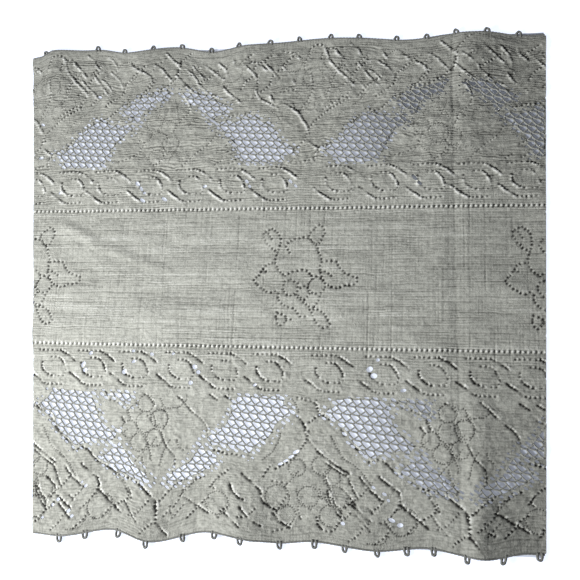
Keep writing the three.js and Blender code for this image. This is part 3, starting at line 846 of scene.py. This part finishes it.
# Round grapes and bulbs of the same repeat: middle and radius.
ROUNDS = (
    (-13.5, 102, 6.5), (-1.5, 113, 7), (-12.5, 116, 8), (-25.5, 122, 6.5), (-4.5, 128, 6.5),
    (-17, 131.5, 7), (-44.5, 182, 10), (48.5, 178, 9), (108, 146, 6.5), (126, 144, 7), (94, 168, 9),
    (117, 168, 8), (138, 167, 8), (101, 181, 7), (134, 181, 8), (134, 152, 6.5),
)
ROUND_WEIGHT = 0.72
ROUND_TURNS = 8
FRONT_BORDER_EYELETS = (
    (22, -134.3, 2.8, 1.3, 25), (18.3, -138, 2.5, 1.0, 25), (14.3, -141.2, 2.3, 0.9, 25),
    (10.5, -143.6, 2.2, 0.9, 20), (93.5, -180, 2.8, 1.3, -30), (99.5, -184, 2.3, 1.6, -10),
    (58.5, -185, 1.7, 1.4, 0), (-142, -166, 1.7, 1.2, 40), (-145.2, -163, 1.5, 1.0, 40),
    (-154, -183, 1.9, 1.4, 20), (-151, -187, 1.7, 1.2, 20), (-164, -175, 1.6, 1.3, 30),
    (-168, -179, 1.4, 1.2, 30), (-118, -124, 1.5, 1.1, -40), (80, -157, 1.7, 1.0, -30),
    (88, -161.5, 1.9, 1.1, -30), (91, -166, 1.5, 1.0, -50), (-175.5, -189, 1.5, 1.0, 30),
)
BACK_BORDER_EYELETS = (
    (-212, 134.5, 2.2, 1.0, -35), (-161.5, 157.8, 2.0, 1.1, -20), (-210, 104, 2.4, 1.3, 10),
)
# The net's step along a row and from row to row, and the small meshes with which it runs out into the cloth.
NET_ALONG, NET_DOWN = (6.7, -0.4), (9.6, -6.7)
MESH_MIDDLES = ((2.7, 0.1), (6.2, -2.5))
MESH_LONG, MESH_WIDE, MESH_SLANT, MESH_FADE = 2.7, 1.2, -30, 6.0
MESH_NEAREST, MESH_SHRINK = 0.4, 0.55
WINDOW_INSET = 1.0


def repeated(points, point, side):
    """One charted outline at every repeat along a border, as cloth places."""
    return [[(point + k * REPEAT + u, side * v) for u, v in points] for k in (-1, 0, 1, 2)]


def inset(outline):
    """An outline drawn in a little all round."""
    run = np.roll(outline, -2, axis=0) - np.roll(outline, 2, axis=0)
    run /= np.maximum(np.hypot(*run.T), 1e-9)[:, None]
    (x, y), (dx, dy) = outline.T, np.roll(outline, -1, axis=0).T - outline.T
    way = math.copysign(WINDOW_INSET, np.sum(x * dy - y * dx))
    return outline + way * np.stack([-run[:, 1], run[:, 0]], axis=1)


def net_windows(point, side):
    """The open windows of one border, their outlines a little uneven."""
    arms = [[(turn * u, v) for u, v in window] for window in NET_WINDOWS for turn in (-1, 1)]
    arms += [SIDE_WINDOW] if side < 0 else []
    even = [drawn(outline, closed=True)[::3] for arm in arms for outline in repeated(arm, point, side)]
    wobble = [np.stack([unevenness(*line.T, 5, 5, seed) for seed in (41, 42)], axis=1) for line in even]
    return [inset(line + shift) for line, shift in zip(even, wobble)]


def on_runner(outline):
    return outline[:, 0].max() > LEFT_END_BACK and outline[:, 0].min() < RIGHT_END_BACK


def net_nodes(outline, margin):
    """The net's nodes in and round a window: one list for each slanting thread, from row to row."""
    (x_low, y_low), (x_high, y_high) = outline.min(axis=0) - margin, outline.max(axis=0) + margin
    (along_x, along_y), (down_x, down_y) = NET_ALONG, NET_DOWN
    area = along_x * down_y - along_y * down_x
    corners = [(x, y) for x in (x_low, x_high) for y in (y_low, y_high)]
    columns = [(x * down_y - y * down_x) / area for x, y in corners]
    rows = [(y * along_x - x * along_y) / area for x, y in corners]
    j = np.arange(math.floor(min(rows)), math.ceil(max(rows)) + 1)
    return [
        np.stack([i * along_x + j * down_x, i * along_y + j * down_y], axis=1)
        for i in range(math.floor(min(columns)), math.ceil(max(columns)) + 1)
    ]


def small_meshes(windows):
    """The small meshes with which the net runs out into the cloth round its windows, as ovals."""
    chance = np.random.default_rng(43)
    meshes = []
    for window in windows:
        nodes = np.vstack(net_nodes(window, 2 * MESH_FADE))
        places = np.vstack([nodes + middle for middle in MESH_MIDDLES])
        away = np.min([beyond(*places.T, other) for other in windows], axis=0)
        for (x, y), gap in zip(places, away):
            if MESH_NEAREST < gap < MESH_FADE:
                size = (1 - MESH_SHRINK * gap / MESH_FADE) * chance.uniform(0.75, 1.1)
                meshes.append((x, y, MESH_LONG * size, MESH_WIDE * size, MESH_SLANT))
    return list(dict.fromkeys(meshes))


border_windows = []
for side, point, eyelets in (
    (-1, FRONT_POINT, FRONT_BORDER_EYELETS),
    (1, BACK_POINT, BACK_BORDER_EYELETS),
):
    name = "lace_border_back" if side > 0 else "lace_border_front"
    low, high = sorted((side * BAND_EDGE, side * HALF_WIDTH))
    border_x, border_y = loom_grid(low, high, BORDER_ROWS)
    charts = BORDER + BACK_TENDRILS if side > 0 else BORDER
    lines = [
        (weight, drawn(places)) for weight, points in charts for places in repeated(points, point, side)
    ]
    turns = [2 * math.pi * k / ROUND_TURNS for k in range(ROUND_TURNS)]
    for u, v, radius in ROUNDS:
        ring = [(u + radius * math.cos(turn), v + radius * math.sin(turn)) for turn in turns]
        lines += [(ROUND_WEIGHT, drawn(places, closed=True)) for places in repeated(ring, point, side)]
    border_holes = pricked(border_x, border_y, lines, lit_side=-side)
    border_relief, border_painted_shading = woven_grain(*np.meshgrid(border_x, border_y))
    windows = [outline for outline in net_windows(point, side) if on_runner(outline)]
    border_windows += windows
    meshes = small_meshes(windows)
    border = woven_band(
        name, border_x, border_y,
        border_relief + pulled_apart(border_holes),
        border_painted_shading + painted_hole_shading(border_holes),
        windows + [oval(*hole) for hole in (*eyelets, *meshes)],
    )
    dressed(border, COTTON, "lace_cloth")

# Net
# The open net in the border windows, of the same cotton: threads step down from row to row across a window,
# and short ties join each to the next, so wide and three-sided meshes take turns. All end in its rim.
NET_STEPS = ((0.0, 0.0), (1.5, -1.6), (3.0, -3.0), (5.4, -4.0), (7.9, -4.4))
NET_TIES = (((3.0, -3.0), (4.6, -1.9), (6.7, -0.4)), ((7.7, -4.4), (8.8, -4.0), (9.9, -3.6)))
NET_RADIUS, LINK_RADIUS = 0.72, 0.58
NET_HEIGHT = 0.8
NET_TUCK = 0.9
NET_SIDES = 5


def thread_mesh(name, strands, sides, twist=0.0, twist_pitch=1.0):
    """Closed tubes along strands, each a list of points in mm and a radius; twist gives a two-ply lay."""
    points, faces, smooth = [], [], []
    turn = 2 * np.pi * np.arange(sides) / sides
    for line, radius in strands:
        run = np.gradient(line, axis=0)
        run /= np.maximum(np.linalg.norm(run, axis=1, keepdims=True), 1e-9)
        aside = np.cross(run, (0, 0, 1.0))
        aside /= np.maximum(np.linalg.norm(aside, axis=1, keepdims=True), 1e-9)
        over = np.cross(aside, run)
        along = np.concatenate([[0.0], np.cumsum(np.linalg.norm(np.diff(line, axis=0), axis=1))])
        lay = 1 + twist * np.cos(2 * turn[None] - 2 * np.pi * along[:, None] / twist_pitch)
        ring = aside[:, None] * np.cos(turn)[None, :, None] + over[:, None] * np.sin(turn)[None, :, None]
        first = sum(len(p) for p in points)
        points.append((line[:, None] + radius * lay[..., None] * ring).reshape(-1, 3))
        rows = first + sides * np.arange(len(line) - 1)[:, None]
        k, after = np.arange(sides)[None], (np.arange(sides)[None] + 1) % sides
        around = (rows + k, rows + sides + k, rows + sides + after, rows + after)
        tube = np.stack(around, axis=-1).reshape(-1, 4)
        last = first + sides * (len(line) - 1)
        caps = [list(range(first, first + sides)), list(range(last + sides - 1, last - 1, -1))]
        faces += tube.tolist() + caps
        smooth += [True] * len(tube) + [False] * 2
    mesh = bpy.data.meshes.new(name)
    mesh.from_pydata((np.vstack(points) * MM).tolist(), [], faces)
    mesh.polygons.foreach_set("use_smooth", smooth)
    piece = bpy.data.objects.new(name, mesh)
    bpy.context.scene.collection.objects.link(piece)
    return piece


def inside_runs(line, window):
    """The stretches of a flat line that lie in a window, each end tucked a little into its rim."""
    x, y = line.T
    near = (beyond(x, y, window) < NET_TUCK) & (from_ends(x, y) > END_RIM - NET_TUCK)
    cuts = np.flatnonzero(np.diff(near.astype(int))) + 1
    parts = zip(np.split(line, cuts), np.split(near, cuts))
    return [part for part, held in parts if held[0] and len(part) > 2]


def laid_thread(line):
    x, y = line.T
    return np.stack([x, y + edge_swing(x, y), lift(x, y) + NET_HEIGHT], axis=1)


net_strands = []
for window in border_windows:
    for nodes in net_nodes(window, 2 * MESH_FADE):
        steps = drawn([(x + u, y + v) for x, y in nodes for u, v in NET_STEPS])[::3]
        ties = [drawn([(x + u, y + v) for u, v in tie])[::2] for x, y in nodes for tie in NET_TIES]
        net_strands += [(laid_thread(part), NET_RADIUS) for part in inside_runs(steps, window)]
        tied = [part for tie in ties for part in inside_runs(tie, window)]
        net_strands += [(laid_thread(part), LINK_RADIUS) for part in tied]
net = thread_mesh("border_net", net_strands, NET_SIDES)
# Its thread is drawn darker than the cloth, as painted shade.
dressed(net, COTTON_THREAD, "lace_cloth")

# Picot edgings
# A two-ply cotton cord is worked along each long edge, and every 25 mm or so it throws out a small loop.
# The cord lies close against the woven edge; the loops lie flat or lean a little, no two alike.
CORD_MIDDLE, CORD_RADIUS, CORD_LAY, CORD_SIDES = 200.7, 0.75, 2.6, 8
CORD_STEP, CORD_HEIGHT, CORD_END = 0.9, 0.9, 0.3
CORD_TWIST = 0.14
PICOT_THREAD = 1.0
PICOT_TURN_POINTS, PICOT_CLOSE = 18, 0.3
# A loop's reach, half width, lean and lifted tip, from least to most; at the back it reaches less far.
PICOT_LEAST, PICOT_MOST, BACK_PICOT_REACH = (3.6, 1.6, -0.9, -0.1), (4.8, 2.1, 0.9, 0.7), 0.75
BACK_PICOTS = (-215, -167, -142, -116, -90, -64, -40, -13, 12, 38, 62, 92, 116, 140, 164, 188)
FRONT_PICOTS = (-160, -139, -112, -90, -62, -37, -17, 12, 38, 60, 83, 104, 123, 146, 171, 195)
picot_shapes = np.random.default_rng(21)
for side, places in ((-1, FRONT_PICOTS), (1, BACK_PICOTS)):
    name = "picot_edging_back_thread" if side > 0 else "picot_edging_front_thread"
    edge = side * HALF_WIDTH
    left, right = ends_at(edge)
    cord_x = np.arange(left + CORD_END, right - CORD_END, CORD_STEP)
    edge_y = np.full(len(cord_x), edge)
    cord_y = side * CORD_MIDDLE + edge_swing(cord_x, edge_y)
    cord = np.stack([cord_x, cord_y, lift(cord_x, edge_y) + CORD_HEIGHT], axis=1)
    strands = [(cord, CORD_RADIUS)]
    for place in places:
        reach, half, lean, tip = picot_shapes.uniform(PICOT_LEAST, PICOT_MOST)
        turn = np.linspace(-PICOT_CLOSE, np.pi + PICOT_CLOSE, PICOT_TURN_POINTS)
        out = (1.0 if side < 0 else BACK_PICOT_REACH) * reach * np.sin(turn)
        loop_x = place + half * np.cos(turn) * (0.75 + 0.35 * np.sin(turn)) + lean * np.sin(turn)
        root = np.array(place, float)
        loop_y = side * (CORD_MIDDLE + out) + edge_swing(root, np.array(edge))
        height = lift(root, np.array(edge)) + THICKNESS / 2 + tip * np.sin(turn) * THICKNESS
        loop_z = np.maximum(height, 1.2 * PICOT_THREAD)
        strands.append((np.stack([loop_x, loop_y, loop_z], axis=1), PICOT_THREAD))
    edging = thread_mesh(name, strands, CORD_SIDES, twist=CORD_TWIST, twist_pitch=CORD_LAY)
    # The cord is drawn darker than the cloth, as painted shade.
    dressed(edging, COTTON_CORD, "picot_edging_back" if side > 0 else "picot_edging_front")

# Floor
# A plain, smooth, near-white board under the runner; where the runner covers it, painted shade dims its glow
# and leaves it a little cool.
FLOOR_SIDE = 6.0
FLOOR_DROP = 0.0003
FLOOR_COLOUR, FLOOR_PAINT, FLOOR_GLOW = "#e2e8f7", "#b4bac8", 1.1
# Painted shade under the runner: its inset, then its strength in front, at the back, at the right end, at
# most.
UNDER_FROM, UNDER_FRONT, UNDER_BACK, UNDER_END, UNDER_MOST = 1.5, 0.12, 0.62, 0.75, 0.93
UNDER_END_FROM, UNDER_END_FULL, UNDER_END_FRONT = 0.55, 0.88, 0.82
UNDER_STEPS = 12


def runner_corners(inset):
    left, right = (LEFT_END_FRONT, LEFT_END_BACK), (RIGHT_END_FRONT, RIGHT_END_BACK)
    edge = HALF_WIDTH - inset
    corners = (
        (left[0] + inset, -edge), (right[0] - inset, -edge),
        (right[1] - inset, edge), (left[1] + inset, edge),
    )
    return [(x * MM, y * MM) for x, y in corners]


half_floor = FLOOR_SIDE / 2
floor_corners = [(half_floor * x, half_floor * y) for x, y in ((-1, -1), (1, -1), (1, 1), (-1, 1))]
floor_rings = floor_corners + runner_corners(0) + runner_corners(UNDER_FROM)
floor_faces = [(r + k, r + (k + 1) % 4, r + 4 + (k + 1) % 4, r + 4 + k) for r in (0, 4) for k in range(4)]
near_left, near_right, far_right, far_left = (np.array(corner) for corner in runner_corners(UNDER_FROM))
shares = np.linspace(0, 1, UNDER_STEPS + 1)
under = [
    (1 - t) * ((1 - u) * near_left + u * near_right) + t * ((1 - u) * far_left + u * far_right)
    for t in shares for u in shares
]
covered_faces = [
    [len(floor_rings) + (j + b) * len(shares) + i + a for a, b in ((0, 0), (1, 0), (1, 1), (0, 1))]
    for j in range(UNDER_STEPS) for i in range(UNDER_STEPS)
]
shade = [0.0] * len(floor_rings)
for t in shares:
    for u in shares:
        end_shade = UNDER_END * (UNDER_END_FRONT + (1 - UNDER_END_FRONT) * t)
        end_shade *= float(ease(u, UNDER_END_FROM, UNDER_END_FULL))
        shade.append(min(UNDER_FRONT + (UNDER_BACK - UNDER_FRONT) * t + end_shade, UNDER_MOST))
floor_mesh = bpy.data.meshes.new("floor")
floor_points = [(float(x), float(y), -FLOOR_DROP) for x, y in [*floor_rings, *under]]
floor_mesh.from_pydata(floor_points, [], floor_faces + covered_faces)
floor_mesh.attributes.new("shade", "FLOAT", "POINT").data.foreach_set("value", shade)
floor = bpy.data.objects.new("floor", floor_mesh)
bpy.context.scene.collection.objects.link(floor)
# Matt white paint, with a faint cool glow of its own so that the open floor stays near-white round the lace.
# Under the runner the glow is dimmed by the shade attribute, as painted shade.
board = bpy.data.materials.new("painted_board")
board.use_nodes = True
covered = add_node(board, "ShaderNodeAttribute", attribute_name="shade")
glow = add_node(
    board, "ShaderNodeMath", [(0, covered.outputs["Fac"])],
    [(1, -FLOOR_GLOW), (2, FLOOR_GLOW)], operation="MULTIPLY_ADD",
)
board_surface = board.node_tree.nodes["Principled BSDF"]
for socket, value in (
    ("Base Color", linear(FLOOR_PAINT)), ("Roughness", 0.8), ("Emission Color", linear(FLOOR_COLOUR)),
):
    board_surface.inputs[socket].default_value = value
board.node_tree.links.new(glow.outputs["Value"], board_surface.inputs["Emission Strength"])
floor_mesh.materials.append(board)

# Light
# One soft lamp low on the left in front rakes over the weave, with a pale even room round it.
LAMP_PLACE, LAMP_AIM = (-0.66, -0.32, 0.44), (0.05, 0.0, 0.0)
LAMP_SIZE, LAMP_POWER, LAMP_SPREAD = 0.22, 3.85, 95.0
ROOM_COLOUR, ROOM_STRENGTH = "#eef1f6", 0.24
lamp_data = bpy.data.lights.new("soft_lamp", "AREA")
lamp_data.size = LAMP_SIZE
lamp_data.energy = LAMP_POWER
lamp_data.spread = math.radians(LAMP_SPREAD)
lamp = bpy.data.objects.new("soft_lamp", lamp_data)
lamp.location = LAMP_PLACE
lamp.rotation_euler = (Vector(LAMP_AIM) - Vector(LAMP_PLACE)).to_track_quat("-Z", "Y").to_euler()
bpy.context.scene.collection.objects.link(lamp)
room = bpy.data.worlds.new("room")
room.use_nodes = True
room.node_tree.nodes["Background"].inputs["Color"].default_value = linear(ROOM_COLOUR)
room.node_tree.nodes["Background"].inputs["Strength"].default_value = ROOM_STRENGTH
bpy.context.scene.world = room

# Camera
# It looks down on the runner, a little from the right and the front, from arm's length.
PICTURE_SIDE = 580
FOCAL_PIXELS = 755.5
TILT, YAW, ROLL = (math.radians(angle) for angle in (-11.29, -10.25, -2.36))
OFFSET = Vector((-11.63, 10.52, -594.73)) * MM
turned_in = Matrix.Rotation(ROLL, 3, "Z") @ Matrix.Rotation(TILT, 3, "X") @ Matrix.Rotation(YAW, 3, "Y")
camera_data = bpy.data.cameras.new("camera")
camera_data.sensor_width = 36.0
camera_data.lens = camera_data.sensor_width * FOCAL_PIXELS / PICTURE_SIDE
camera_data.clip_start = 0.01
camera = bpy.data.objects.new("camera", camera_data)
turned_out = turned_in.transposed()
camera.matrix_world = Matrix.Translation(-(turned_out @ OFFSET)) @ turned_out.to_4x4()
bpy.context.scene.collection.objects.link(camera)
bpy.context.scene.camera = camera
bpy.context.scene.view_settings.view_transform = "Standard"

bpy.context.view_layer.update()
